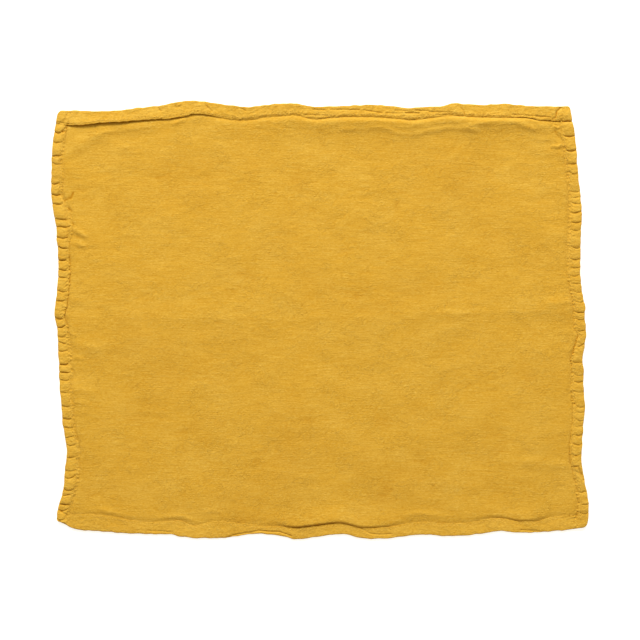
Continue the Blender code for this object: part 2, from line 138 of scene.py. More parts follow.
BOTTOM_EDGE = [Edge(*row) for row in (
    (-227, -8.9, 10.8, 0.2, 0), (-220, -7.7, 11, 0.2, 0), (-217, -5.3, 12, 0.2, 0.1),
    (-212, -2.9, 12.6, 0.15, 0.05), (-205, -1.5, 14, 0.15, 0.05), (-185, 0, 14.4, 0.3, 0.15),
    (-172, 0.9, 12.9, 0.35, 0.2), (-157, 1.7, 11, 0.3, 0.15), (-142, 2.1, 10.6, 0.3, 0.15),
    (-127, 2.4, 12.2, 0.3, 0.3), (-120, 4, 13.8, 0.3, 0.35), (-109, 5.2, 10.6, 0.3, 0.2),
    (-95, 5.4, 13.8, 0.2, 0.05), (-83, 5.2, 14, 0.2, 0), (-64, 2.4, 9.6, 0.2, 0),
    (-53, 1.5, 7, 0.15, 0), (-35, 3.3, 8.2, 1, 0.25), (-21, 6.4, 10, 2, 1),
    (-11, 5.4, 9.9, 2.2, 1), (3, 3.3, 9.6, 2.1, 1), (15, 2, 9.7, 2, 0.9), (23, 2.1, 8.7, 2, 0.85),
    (36, 5.2, 8.6, 1.6, 0.7), (56, 6, 10.2, 1, 0.5), (73, 3.6, 10.4, 0.4, 0.2),
    (89, 2.4, 11.3, 0.3, 0.1), (108, 3.5, 11, 0.3, 0.1), (126, 3.3, 11.1, 0.4, 0.15),
    (135, 2.1, 11.5, 0.6, 0.2), (153, -0.7, 11.3, 1, 0.45), (172, 0.5, 9.5, 1.2, 0.6),
    (187, 0.5, 9.9, 1, 0.4), (202, -0.6, 12.8, 0.25, 0.05), (212, -1.6, 12.3, 0.2, 0.1),
    (221, -3, 11.1, 0.2, 0.1), (230, -3.9, 12.2, 0.2, 0))]
LEFT_EDGE = [Edge(*row) for row in (
    (-172, 1.8, 11, 0.2, 0.1), (-166, 1.4, 10.9, 0.3, 0.1), (-151, -2.4, 11.5, 0.4, 0.1),
    (-138, -4.8, 12.2, 0.5, 0.1), (-125, -5.7, 11.7, 0.5, 0.1), (-113, -6.8, 12, 0.6, 0.1),
    (-102, -5.7, 10.6, 0.5, 0.1), (-87, -3.1, 10.4, 0.4, 0.15), (-76, -2.5, 10.6, 0.5, 0.15),
    (-59, -0.8, 10.3, 0.8, 0.1), (-46, -0.3, 12.4, 0.5, 0.1), (-38, 0, 10.6, 0.5, 0.1),
    (-30, 0.4, 11.9, 0.4, 0.15), (-14, 1.2, 9.9, 0.5, 0.4), (-5, 1.7, 9.8, 0.6, 0.7),
    (5, 3.6, 9, 0.6, 0.8), (12, 3.1, 10.3, 0.6, 0.8), (29, 1.4, 10.4, 0.5, 0.7),
    (39, 0.7, 10.5, 0.4, 0.6), (59, 0.8, 10.4, 0.4, 0.5), (66, 1.6, 11, 0.3, 0.4),
    (80, 2.2, 14.6, 0.3, 0.35), (91, 4.4, 14.4, 0.4, 0.3), (103, 5.9, 11.2, 0.7, 0.35),
    (110, 6.4, 9.2, 0.9, 0.35), (122, 6.4, 10.8, 0.7, 0.2), (134, 6.2, 9.2, 0.6, 0.05),
    (148, 5.7, 10.5, 0.5, 0.05), (156, 4.7, 10.3, 0.5, 0.4), (168, 2.7, 10, 0.3, 0.8),
    (181, 0.2, 10, 0.2, 0.2))]
RIGHT_EDGE = [Edge(*row) for row in (
    (-179, 4.4, 10.6, 0.2, 0.1), (-171, 6.1, 10.4, 0.3, 0.45), (-159, 6.5, 9.6, 0.4, 0.45),
    (-146, 4.6, 8.5, 0.5, 0.4), (-131, 1.6, 8.8, 0.6, 0.45), (-121, 0.2, 10.2, 0.6, 0.45),
    (-105, 0.9, 10.9, 0.4, 0.45), (-87, 2.3, 9.9, 0.4, 0.45), (-73, 3.1, 10.6, 0.4, 0.45),
    (-62, 2.1, 11.6, 0.5, 0.35), (-42, 2.2, 10.5, 0.5, 0.4), (-33, 1.2, 10.8, 0.5, 0.7),
    (-23, 2.9, 8.9, 0.7, 0.8), (-13, 4.1, 7.4, 0.8, 0.6), (-6, 3.9, 10.3, 0.6, 0.2),
    (6, 3.2, 10.6, 0.8, 0.15), (10, 3.6, 10.5, 0.8, 0.15), (20, 1.6, 10.5, 0.7, 0.35),
    (35, -0.4, 11.4, 0.4, 0.3), (54, -0.8, 11.4, 0.5, 0.05), (71, -0.5, 11.2, 0.5, 0.05),
    (94, 0.4, 11.4, 0.6, 0.05), (108, -0.8, 10.4, 0.7, 0.05), (126, -2.6, 10.4, 0.6, 0.05),
    (146, -4.1, 11.2, 0.6, 0.05), (160, -5.6, 11.6, 0.5, 0.1), (174, -8, 10.4, 0.3, 0.2),
    (184, -9.2, 9.6, 0.2, 0.2))]

# Gathers in the side hems: place along the side, depth (1 is a deep one), and how
# much higher its end at the stitching lies than its end at the edge.  Millimetres.
Gather = namedtuple("Gather", "at depth slant", defaults=(0,))
LEFT_GATHERS = [Gather(*row) for row in (
    (-163, 0.9, 1.5), (-158.5, 0.9, -1.5), (-150, 0.6, 1.5), (-145.5, 0.7), (-135, 0.47, 1.5),
    (-129, 0.31), (-117.5, 0.53, 3), (-107, 0.31), (-100, 0.37, 2), (-92.5, 0.53), (-84.5, 0.53),
    (-74, 0.37), (-62, 0.39), (-51, 0.39), (-45, 0.9), (-38, 1), (-26, 0.7), (-19.5, 0.6, -2),
    (-14, 0.5), (-5.5, 1, 3), (1.5, 1, -2.5), (16.5, 0.6), (25.5, 0.7), (37.5, 0.9), (43.5, 0.7),
    (52, 1), (62.5, 1, -2.5), (71, 0.7), (80.5, 1), (87.5, 0.6), (100, 0.9), (108, 0.72),
    (118, 0.63), (135, 0.36), (142, 0.9), (153.5, 0.45), (162, 1.2), (170, 0.9))]
RIGHT_GATHERS = [Gather(*row) for row in (
    (-166, 0.34), (-158.5, 0.42), (-147.5, 0.49), (-131, 0.18, 2), (-116, 0.23), (-106.5, 0.23),
    (-98.5, 0.23), (-91, 0.23), (-86, 0.27, 2), (-78.5, 0.23), (-74.5, 0.37, 2.5), (-61, 0.23),
    (-53, 0.49), (-46.5, 0.3), (-36, 0.3), (-22, 0.25, -3), (-9, 0.38, -2.5), (1, 0.46),
    (7, 0.61), (16.5, 0.38), (24.5, 0.38), (31.5, 0.38), (39, 0.38), (45.5, 0.38), (52.5, 0.38),
    (63, 0.38), (77.5, 0.38), (84.5, 0.38), (93, 0.61), (101, 0.38), (106, 0.38), (111, 0.38),
    (126.5, 0.38), (135, 0.38), (146, 1), (158.5, 0.9), (171.5, 1.4))]

# Lines in the cloth: where one runs, its width and its height (a crease is below 0),
# and power 1 where its crest is sharp and not round.  Millimetres.
Line = namedtuple("Line", "run width height power", defaults=(2,))
FOLDS = [Line(*row) for row in (
    # the press fold across the middle
    (((-229, 6), (-190, 2), (-35, 1), (103, 5), (229, 9)), 9, 0.65, 1),
    # rolls and little folds under the top hem
    (((20, 164), (34, 164), (48, 165.5), (57, 164.5), (69, 160), (82, 159.5), (95, 163),
      (110, 165.5), (134, 163.5)), 2.2, 0.75),
    (((128, 167), (140, 169.5), (160, 173.5), (168, 171), (176, 167), (184, 164)), 2.2, 0.85),
    (((104, 169), (113, 172.5), (121, 168), (131, 163)), 1.6, 0.4),
    (((-196, 158), (-183, 162), (-160, 165.5), (-145, 167)), 3, 0.3),
    (((-186, 161.4), (-177, 162.2)), 1.5, 0.45),
    (((-166, 163.6), (-157, 164.6)), 1.4, 0.45),
    (((-153, 165.6), (-145, 166.6)), 1.5, 0.6),
    (((-126, 168.7), (-118, 172.4)), 1.7, 0.8),
    (((-208, 151.5), (-186, 160.5), (-150, 167)), 6, 0.8),
    (((199, 156), (211, 148)), 3, 0.6),
    (((201, 167), (204, 165), (207, 166)), 1, 1.5),
    (((206, 162), (210, 157.5)), 1.2, 1.5),
    (((200, 149.5), (205, 149), (208, 151)), 1.3, 1.6),
    (((177, 172.7), (182, 171.9), (187, 170.8)), 1.2, 0.9),
    (((184, 156.2), (189, 154.8), (196, 155.2)), 1.5, 0.55),
    (((202.5, 162), (205, 158.5), (208.5, 155.5)), 1, -0.75),
    (((199, 166.5), (203, 168)), 1, -0.8),
    # low folds above the bottom hem
    (((-188, -163.5), (-181, -165.5), (-172.5, -167.7), (-162, -170)), 2.3, 0.4),
    (((-138, -170.2), (-125, -169.2), (-117.5, -169), (-111.5, -172)), 2, 0.55),
    (((-98.5, -165), (-91.5, -163.6), (-85.5, -166.4), (-81, -170)), 1.6, 0.6),
    (((70, -168.5), (84, -166.5), (100, -168), (112, -170)), 2.4, 0.35),
    # short folds that run in from the gathers of the side hems
    (((-214, 128), (-188, 116)), 6, 0.6),
    (((-217, 17), (-201, 15)), 4, 0.6),
    (((-214, -21), (-190, -27)), 6, 0.5),
    (((-210, -60), (-198, -63)), 5, 0.45),
    (((-212, -71), (-202, -71.5), (-195, -76)), 3, 0.6),
    (((217, 16), (198, 14)), 4, 0.9),
    (((209, 142), (183, 147)), 4.5, 0.6),
    (((209, 113), (180, 108)), 5, 0.6),
    (((217, -126), (178, -122)), 4, 0.6),
    # sharp little creases beside the hems
    (((-216, -11), (-211, -13)), 1.3, 0.7),
    (((-215, -30), (-212, -32), (-205, -33.5)), 1.4, 0.8),
    (((-214, 79), (-209, 76), (-203, 72.5)), 2.6, 1.6),
    (((-219.5, 103.4), (-214.4, 105.2), (-212.4, 109.6)), 0.9, -1.1),
    (((-216.6, 96), (-214, 94)), 1.1, -1),
    (((-217, 87.5), (-214, 84), (-211.4, 80.4)), 1, -1),
    (((-213, 74.5), (-209, 72.2), (-204.5, 70.4)), 2, -0.9),
    (((-212, 66), (-203, 64)), 2, 0.8),
)]

# The same for the hems: tucks and creases in their folded layers
HEM_CREASES = [Line(*row) for row in (
    (((-216.5, 168.4), (-218.6, 165.5), (-221, 162)), 1.1, -1.5),
    (((-219.5, 104), (-218.6, 90), (-217.6, 78), (-216.6, 66)), 1.1, -0.8),
    (((-224.5, 108), (-221.7, 106.2), (-219, 103.2)), 0.9, -0.9),
    # the corners
    (((-222.5, -165), (-218.4, -167.5), (-219, -171.2), (-223.5, -172.8)), 0.9, -0.7),
    (((-226.3, -171.3), (-224, -173.2)), 0.8, -0.8),
    (((-225.5, 170.2), (-220.5, 169.4)), 0.7, -0.4),
    (((207.5, 177.2), (212.5, 176.6)), 3.6, 0.9),
    (((209, -170.6), (213, -169.6), (217, -171.2), (221, -170.2)), 0.7, -0.5),
    (((-80, -187), (-71, -184.3), (-59, -182.8), (-53, -181.3), (-44, -182.2),
      (-34.5, -182.5), (-25, -186)), 0.7, -0.8),
    (((35, -178.5), (38, -181), (43, -184), (51.5, -184.9), (61, -184.3)), 0.7, -0.45),
    (((222.5, -12.6), (219.7, -21.6), (216.8, -28.1)), 1, -1.1),
    (((216.8, -126.1), (221.7, -126.5), (227, -138)), 1, -1),
    (((173, -181), (181, -181.2), (189, -182)), 0.7, -0.5),
    (((-148, -181.5), (-136, -182), (-127, -183)), 0.8, -0.5),
    # the same along the top, from left to right
    (((-124, 183.2), (-121, 183.7)), 0.9, -0.7),
    (((-139, 182.2), (-137, 179.7)), 0.8, -0.5),
    (((-98, 184.2), (-93, 179.7)), 0.8, -0.5),
    (((-69, 182.7), (-64, 180.2)), 0.8, -0.5),
    (((-6, 181.2), (4, 180.7)), 0.7, -0.6),
    (((-14, 176.7), (6, 175.7)), 0.8, -0.5),
    (((9, 181), (34, 180.7)), 0.7, -0.6),
    (((38, 180.4), (53, 178)), 0.7, -0.6),
    (((57, 178), (66, 177.8)), 0.7, -0.5),
    (((65, 180.4), (75, 180.2)), 0.7, -0.5),
    (((74, 178.1), (85, 177.9)), 0.8, -0.8),
    (((82, 180.4), (93, 180)), 0.8, -0.7),
    (((94, 179), (113, 178.6)), 0.8, -0.6),
    (((100, 177), (114, 176.8)), 0.7, -0.6),
    (((121.5, 182.7), (123.5, 180.2), (124.5, 176.7)), 0.7, -0.5),
    (((166, 176.4), (173, 176), (194, 174.6)), 0.8, -0.5),
    (((200.5, 172.5), (203, 174.5), (203.6, 179), (207, 182.5)), 0.9, -1.1),
    (((187, 175.4), (198, 174)), 0.9, -0.7),
)]

# Soft places in the open cloth: the middle, half its length and height, and how far it
# leans towards the top of the mat (below 0, towards the bottom).  Millimetres.
Patch = namedtuple("Patch", "x y long high lean")
PATCHES = [Patch(*row) for row in (
    (-200, 125, 14, 12, 0.5), (-170, 153, 18, 8, 0.5), (-114, 142, 22, 9, -0.4),
    (-99, 114, 20, 10, 0.5), (-86, 166, 30, 7, 0.5), (-28, 157, 20, 9, -0.4),
    (43, 78, 9, 5, -0.3), (45, 95, 14, 10, 0.25), (69, 106, 6, 10, -0.3), (116, 123, 22, 16, 0.5),
    (179, 95, 12, 10, 0.4), (209, 127, 10, 6, -0.35), (207, 97, 9, 6, -0.4),
    (-17, 56, 20, 6, -0.25), (-112, 13, 40, 9, 0.4), (-39, 26, 14, 16, 0.3),
    (45, 19, 22, 10, 0.4), (108, 17, 30, 10, 0.35), (198, 2, 25, 7, -0.35),
    (112, -15, 18, 12, -0.4), (13, -32, 10, 6, -0.3), (-207, -41, 12, 8, -0.4),
    (125, -62, 14, 10, 0.3), (-194, -84, 10, 6, -0.3), (-102, -103, 22, 20, -0.7),
    (-35, -97, 12, 22, -0.5), (21, -101, 10, 20, -0.35), (108, -108, 22, 12, -0.25),
    (-104, -142, 28, 12, 0.35), (159, -155, 60, 10, 0.3), (21, -161, 40, 8, 0.3))]

CLOTH_COLOUR = (0.579, 0.320, 0.026)     # mustard yellow, linear RGB
WORN_COLOUR = (0.684, 0.436, 0.070)      # where washing has rubbed the dye
DYE_AND_SHADE_COLOUR = (0.435, 0.187, 0.001)      # darker dye in slubs and fibres, and painted shade in hollows, creases and beside crisp hems
CREASE_SHADE_COLOUR = (0.260, 0.095, 0.001)    # painted shade at the bottom of the sharpest creases and along crisp seams
THREAD_COLOUR = (0.660, 0.390, 0.048)


# ---------------------------------------------------------------- plan of the mat

def read(table, column, at):
    """A column of an edge table, read on a smooth curve through its rows."""
    x = np.array([row.at for row in table], float)
    y = np.array([getattr(row, column) for row in table], float)
    slope = np.empty_like(y)
    slope[1:-1] = (y[2:] - y[:-2]) / (x[2:] - x[:-2])
    slope[0] = (y[1] - y[0]) / (x[1] - x[0])
    slope[-1] = (y[-1] - y[-2]) / (x[-1] - x[-2])
    i = np.clip(np.searchsorted(x, at, side="right") - 1, 0, len(x) - 2)
    span = x[i + 1] - x[i]
    t = np.clip((at - x[i]) / span, 0.0, 1.0)
    return ((2 * t ** 3 - 3 * t ** 2 + 1) * y[i] + (t ** 3 - 2 * t ** 2 + t) * slope[i] * span
            + (3 * t ** 2 - 2 * t ** 3) * y[i + 1] + (t ** 3 - t ** 2) * slope[i + 1] * span)


def stops(low_edge, high_edge, half_size, at):
    """Where a line across the mat meets the low edge, its stitching and the high ones."""
    low = -half_size - read(low_edge, "out", at)
    high = half_size + read(high_edge, "out", at)
    return np.stack([low, low + read(low_edge, "hem", at),
                     high - read(high_edge, "hem", at), high])


def stops_across(y):
    return stops(LEFT_EDGE, RIGHT_EDGE, CUT_WIDTH / 2, y)


def stops_along(x):
    return stops(BOTTOM_EDGE, TOP_EDGE, CUT_DEPTH / 2, x)


def band_place(marks, band):
    """The distance at which a band count lies: 0-1 one hem, 1-2 the cloth, 2-3 the other."""
    index = np.clip(band.astype(int), 0, 2)
    low = np.take_along_axis(marks, index[None], 0)[0]
    high = np.take_along_axis(marks, index[None] + 1, 0)[0]
    return low + (high - low) * (band - index)


def plan(across, along):
    """The x and y, in millimetres, of places given by their band counts."""
    x = np.zeros_like(across)
    y = np.zeros_like(across)
    for _ in range(PLAN_PASSES):
        x = band_place(stops_across(y), across)
        y = band_place(stops_along(x), along)
    return x, y


def rounded(x, y):
    """Draws places beside a corner of the mat inwards, so that the corner is round."""
    across, along = stops_across(y), stops_along(x)
    u = np.clip(1 - np.minimum(x - across[0], across[3] - x) / CORNER_RADIUS, 0, 1)
    v = np.clip(1 - np.minimum(y - along[0], along[3] - y) / CORNER_RADIUS, 0, 1)
    return (x - np.sign(x) * CORNER_RADIUS * u * (1 - np.sqrt(1 - v * v / 2)),
            y - np.sign(y) * CORNER_RADIUS * v * (1 - np.sqrt(1 - u * u / 2)))


def smooth(t):
    t = np.clip(t, 0.0, 1.0)
    return t * t * (3 - 2 * t)


def bell(distance, reach):
    return np.exp(-(distance / reach) ** 2)


# ---------------------------------------------------------------- folds and crumple

def noise(x, y, seed):
    """Smooth random heights from about -1 to 1, one bump to a unit of x and y."""
    cells, to_unit = 64, 1.5
    angle = np.random.default_rng(seed).uniform(0, 2 * math.pi, (cells, cells))
    i, j = np.floor(x).astype(int), np.floor(y).astype(int)
    u, v = x - i, y - j

    def corner(di, dj):
        turn = angle[(i + di) % cells, (j + dj) % cells]
        return np.cos(turn) * (u - di) + np.sin(turn) * (v - dj)

    fade_u, fade_v = (w ** 3 * (w * (w * 6 - 15) + 10) for w in (u, v))
    low = corner(0, 0) * (1 - fade_u) + corner(1, 0) * fade_u
    high = corner(0, 1) * (1 - fade_u) + corner(1, 1) * fade_u
    return to_unit * (low * (1 - fade_v) + high * fade_v)


def ridges(x, y, seed):
    """Soft creases: high along thin random lines, and low between them."""
    return (1 - np.abs(noise(x, y, seed))) ** 3


def distance_to_run(x, y, run):
    nearest = np.full_like(x, np.inf)
    for (ax, ay), (bx, by) in zip(run, run[1:]):
        length = math.hypot(bx - ax, by - ay)
        t = np.clip(((x - ax) * (bx - ax) + (y - ay) * (by - ay)) / length ** 2, 0, 1)
        nearest = np.minimum(nearest, np.hypot(x - ax - t * (bx - ax), y - ay - t * (by - ay)))
    return nearest


def line_relief(lines, x, y):
    return sum(line.height * np.exp(-(distance_to_run(x, y, line.run) / line.width) ** line.power)
               for line in lines)


# Random waves: a bump's lengths across and up the mat and its height, in millimetres
Wave = namedtuple("Wave", "across along high seed")
SWEEP_ACROSS = Wave(29, 25, 9, 17)       # what bends the creases
SWEEP_ALONG = Wave(29, 25, 9, 18)
CRUMPLED = Wave(55, 40, 0.5, 19)         # where there is more or less of it
BROAD_WAVE = Wave(44, 34, 0.30, 11)
BENT_WAVE = Wave(24, 13, 0.19, 12)
LONG_CREASE = Wave(22, 9, 0.16, 13)
CROSS_CREASE = Wave(13, 8, 0.08, 14)
SMALL_WAVE = Wave(8, 3.6, 0.09, 15)
UNEVEN_FOLDS = Wave(34, 34, 0.9, 16)     # as a share of a fold's height
HEM_GRAIN = Wave(3.1, 3.1, 0.10, 0)      # in a hem, these two on its own seed
HEM_WAVE = Wave(7.5, 7.5, 0.18, 1)


def wave(kind, x, y, seed=0):
    return kind.high * noise(x / kind.across, y / kind.along, kind.seed + seed)


def crumple(x, y):
    """The creases and soft waves of cloth that was washed and not pressed."""
    least, more_at_top, low_end, climb, shift = 0.55, 0.45, -60, 160, 3
    swept_x = x + wave(SWEEP_ACROSS, x, y)
    swept_y = y + wave(SWEEP_ALONG, x, y)
    much = least + wave(CRUMPLED, x, y) + more_at_top * smooth((y - low_end) / climb)
    broad = wave(BROAD_WAVE, x, y) + wave(BENT_WAVE, swept_x, swept_y)
    kind = LONG_CREASE
    creases = kind.high * ridges(swept_x / kind.across, swept_y / kind.along, kind.seed)
    kind = CROSS_CREASE
    creases = creases + kind.high * ridges(swept_y / kind.along + shift, swept_x / kind.across,
                                           kind.seed)
    return broad + (creases + wave(SMALL_WAVE, swept_x, swept_y)) * much


def patches(x, y):
    """Soft places that lean towards the top of the mat, or away from it where below 0."""
    relief = 0.0
    for patch in PATCHES:
        u, v = (x - patch.x) / patch.long, (y - patch.y) / patch.high
        relief = relief - patch.lean * v * np.exp(-u * u - v * v)
    return relief


def seam_crinkle(station, inside, seed):
    """Fine creases drawn up by the stitching, running on from the hem into the cloth."""
    hem_reach, cloth_reach, fanning, sway = 3.4, 4.5, 0.02, 1.5
    crease_high, bump_high = 0.45, 0.32
    fade = np.where(inside < 0, bell(inside, hem_reach),
                    np.exp(-(np.maximum(inside, 0) / cloth_reach) ** 1.4))
    fan = station * (1 - fanning * inside) + sway * noise(inside / 4 + 5, station / 5, seed + 5)
    return fade * (crease_high * ridges(inside / 4.5 + 5, fan / 3.4, seed + 3)
                   + bump_high * noise(inside / 2.4 + 9, fan / 2.2, seed + 8))


def stitch_crimp(station, from_stitching, seed):
    """The little chevrons that each stitch pulls up on both sides of its line."""
    high, slant, reach = 0.17, 0.7, 2.3
    uneven = np.clip(0.5 + 0.9 * noise(station / 13, station * 0 + 1.5, seed + 10), 0, 1)
    turn = 2 * math.pi * (station + slant * np.abs(from_stitching)) / STITCH_PITCH
    return high * uneven * np.sin(turn) * bell(from_stitching, reach)


def gathered(gathers, ends, y, depth, seed):
    """A gathered hem's relief: pillows between the gathers, and a sharp valley at each."""
    at = np.array([ends[0]] + [gather.at for gather in gathers] + [ends[1]])
    deep = np.array([0.0] + [gather.depth for gather in gathers] + [0.0])
    slant = np.array([0.0] + [gather.slant for gather in gathers] + [0.0])
    chance = np.random.default_rng(seed)
    lift = chance.uniform(*PUCKER_LIFTS, len(at))
    reach = chance.uniform(*GATHER_ENDS, len(at))
    curl = chance.uniform(*GATHER_CURLS, len(at))
    middle = np.minimum(depth, 1) - PUCKER_MIDDLE
    y = y + FLANK - np.interp(y, at, slant) * (depth - 0.5) - np.interp(y, at, curl) * middle ** 2
    y = y - GATHER_WAVER * noise(depth * 2 + 7, y / 7, seed)
    i = np.clip(np.searchsorted(at, y, side="right") - 1, 0, len(at) - 2)
    length = at[i + 1] - at[i]
    t = np.clip((y - at[i]) / length, 0.0, 1.0)
    crown = 1 - 0.6 * np.clip(np.abs(middle) / 0.5, 0, 1) ** 2
    full = np.minimum((deep[i] + deep[i + 1]) / PUCKER_FULL, 1)
    rise = np.minimum(length * PUCKER_SWELL, PUCKER_TOP) * (1 + full) / 2 * lift[i] * crown
    off_crest = np.where(t < PUCKER_CREST, 1 - t / PUCKER_CREST,
                         (t - PUCKER_CREST) / (1 - PUCKER_CREST))
    swell = rise * (1 - off_crest ** 2.2) ** 0.8 * (1 - 0.5 * smooth((depth - 0.6) / 0.4))
    first, second = y - at[i], at[i + 1] - y
    near = np.where(first < second, i, i + 1)
    gap = np.minimum(first, second)
    fade = 1 / (1 + np.exp((depth - reach[near]) * 14))
    spread = np.where(first < second, VALLEY_ABOVE, VALLEY_BELOW)
    valley = np.exp(-(np.abs(gap) / spread) ** 1.3)
    return swell - PUCKER_DROP * deep[near] * fade * crown * valley


def stitch_distances(x, y):
    """How far a place lies inside the left, right, bottom and top stitching."""
    across, along = stops_across(y), stops_along(x)
    return x - across[1], across[2] - x, y - along[1], along[2] - y


def cloth_height(x, y):
    """How far the cloth's underside is lifted off the table, in millimetres."""
    left, right, bottom, top = stitch_distances(x, y)
    nearest = np.minimum(np.minimum(left, right), np.minimum(bottom, top))
    let_go = 1 - np.exp(-np.maximum(nearest, 0) / HELD_REACH)
    free = STITCHED_SWELL + (1 - STITCHED_SWELL) * let_go
    folds = line_relief(FOLDS, x, y) * (0.8 + wave(UNEVEN_FOLDS, x, y))
    lift = (folds + patches(x, y) + crumple(x, y) + MEAN_LIFT) * free
    for table, at, inside, rise in (
            (LEFT_EDGE, y, left, SIDE_RISE), (RIGHT_EDGE, y, right, SIDE_RISE),
            (BOTTOM_EDGE, x, bottom, BOTTOM_RISE), (TOP_EDGE, x, top, TOP_RISE)):
        inside = np.maximum(inside, 0)
        if table is BOTTOM_EDGE:
            soft = 1 - np.clip(read(table, "lip", at) * 1.6, 0, 1)
            rise = rise + BOTTOM_SOFT_RISE * soft
        rising = 1 - np.exp(-(np.maximum(inside - 0.3, 0) / rise) ** 1.4)
        lift += read(table, "tuck", at) * rising * bell(inside, ROLL)
    held_up = TOP_HELD * np.minimum(read(TOP_EDGE, "tuck", x), TOP_HELD_MOST)
    lift += held_up * np.where(top < 0, np.clip(1 + top / TOP_HELD_HEM, 0, 1),
                               bell(top, 1.5 * ROLL))
    ends = (-CUT_DEPTH / 2, CUT_DEPTH / 2)
    for gathers, inside, seed in ((LEFT_GATHERS, left, 21), (RIGHT_GATHERS, right, 22)):
        under_hem = bell(np.minimum(inside, 0), 2.2)
        inside = np.maximum(inside, 0)
        relief = CLOTH_GATHER * gathered(gathers, ends, y, 1 + inside / 10, seed)
        relief = relief * np.exp(-inside / CLOTH_GATHER_REACH)
        relief += CLOTH_CRINKLE * seam_crinkle(y, inside, seed)
        lift += under_hem * (relief + stitch_crimp(y, inside + STITCH_INSET, seed))
    return GROUND + (lift + np.sqrt(lift ** 2 + 0.04)) / 2


# ---------------------------------------------------------------- meshes

def new_piece(name, points, faces, material, relief):
    """A smooth mesh from points in millimetres, with its relief kept for the shader."""
    mesh = bpy.data.meshes.new(name)
    mesh.from_pydata((np.asarray(points) * MM).tolist(), [], faces)
    mesh.attributes.new("relief", "FLOAT", "POINT").data.foreach_set(
        "value", np.asarray(relief, np.float32).ravel())
    mesh.materials.append(material)
    mesh.shade_smooth()
    mesh.update()
    piece = bpy.data.objects.new(name, mesh)
    bpy.context.scene.collection.objects.link(piece)
    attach(piece, "root")
    return piece


def grid_faces(rows, columns, first=0, flip=False, tube=False):
    """The faces of points that are numbered row by row, or ring by ring in a closed tube."""
    index = first + np.arange(rows * columns).reshape(rows, columns)
    ends = [index[0, ::-1].tolist(), index[-1].tolist()] if tube else []
    if tube:
        index = np.concatenate([index, index[:, :1]], 1)
    quads = np.stack([index[:-1, :-1], index[:-1, 1:], index[1:, 1:], index[1:, :-1]], -1)
    faces = quads.reshape(-1, 4).tolist() + ends
    return [face[::-1] for face in faces] if flip else faces


def graded(stretches):
    """Places along a line made of stretches (from, to, steps)."""
    parts = [np.linspace(start, end, steps, endpoint=False) for start, end, steps in stretches]
    return np.append(np.concatenate(parts), stretches[-1][1])


def cloth_bands(steps):
    """Band counts for the cloth's grid: finer beside the stitching than in the middle."""
    beside, hidden = 0.03, 0.14
    return graded(((hidden, 1, 6), (1, 1 + beside, 16), (1 + beside, 2 - beside, steps),
                   (2 - beside, 2, 16), (2, 3 - hidden, 6)))


def lowest_near(heights, reach):
    """The lowest height in the square of grid points round each one."""
    padded = np.pad(heights, reach, mode="edge")
    rows, columns = heights.shape
    span = range(2 * reach + 1)
    return np.min([padded[i:i + rows, j:j + columns] for i in span for j in span], axis=0)


def make_cloth(material):
    """The open cloth, from just inside the folded edge on one side to the other."""
    step = UNDERSIDE_STEP
    across, along = np.meshgrid(cloth_bands(CLOTH_STEPS_ACROSS), cloth_bands(CLOTH_STEPS_ALONG))
    x, y = plan(across, along)
    under = cloth_height(x, y)
    hidden = smooth(-np.min(stitch_distances(x, y), axis=0) / 1.2)
    x, y = rounded(x, y)
    rows, columns = x.shape
    top = np.stack([x, y, under + CLOTH_THICK - 0.25 * hidden], -1).reshape(-1, 3)
    coarse = np.stack([x, y, lowest_near(under, step)], -1)[::step, ::step]
    small_rows, small_columns = coarse.shape[:2]
    points = np.concatenate([top, coarse.reshape(-1, 3)])
    faces = grid_faces(rows, columns)
    faces += grid_faces(small_rows, small_columns, first=len(top), flip=True)
    fine = np.arange(rows * columns).reshape(rows, columns)
    wide = len(top) + np.arange(small_rows * small_columns).reshape(small_rows, small_columns)
    for upper, lower in ((fine[0], wide[0]), (fine[:, -1], wide[:, -1]),
                         (fine[-1, ::-1], wide[-1, ::-1]), (fine[::-1, 0], wide[::-1, 0])):
        for k in range(len(lower) - 1):
            rim = upper[step * k:step * (k + 1) + 1][::-1]
            faces.append([int(n) for n in (lower[k], lower[k + 1], *rim)])
    x, y = points[:, 0], points[:, 1]
    # the relief paints shade into the crumple's hollows, the creases and beside crisp hems, and
    # rubs its crests and ridges lighter
    marks = line_relief(FOLDS, x, y)
    relief = crumple(x, y) + np.where(marks < 0, 0.8, 0.4) * marks - painted_seam_shade(x, y)
    return new_piece("cloth", points, faces, material, relief)


def painted_seam_shade(x, y):
    """How much painted shade darkens the cloth right beside a crisp hem."""
    left, right, bottom, top = stitch_distances(x, y)
    return sum(shade * read(table, "lip", at) * bell(inside, 0.9)
               for table, at, inside, shade in ((LEFT_EDGE, y, left, 0.5 * SEAM_PAINTED_SHADE),
                                                (RIGHT_EDGE, y, right, 0.5 * SEAM_PAINTED_SHADE),
                                                (BOTTOM_EDGE, x, bottom, SEAM_PAINTED_SHADE),
                                                (TOP_EDGE, x, top, SEAM_PAINTED_SHADE)))


# A hem's layers thin out towards its stitching from the depth `thins` on
Hem = namedtuple("Hem", "name table gathers ends high upright rough thins seed")


def hem_place(hem, along, depth):
    """The x and y of places on a hem, given along it and by depth, 0 edge to 1 stitching."""
    band = 3 - depth if hem.high else depth
    return plan(band, along) if hem.upright else plan(along, band)


def from_ends(x, y):
    """How far a place lies from the nearer end of a side hem."""
    low_end, high_end = stops_along(x)[[0, 3]]
    return np.minimum(y - low_end, high_end - y)


def drawn_in(hem, x, y, shift):
    shift = -shift if hem.high else shift
    return (x + shift, y) if hem.upright else (x, y + shift)


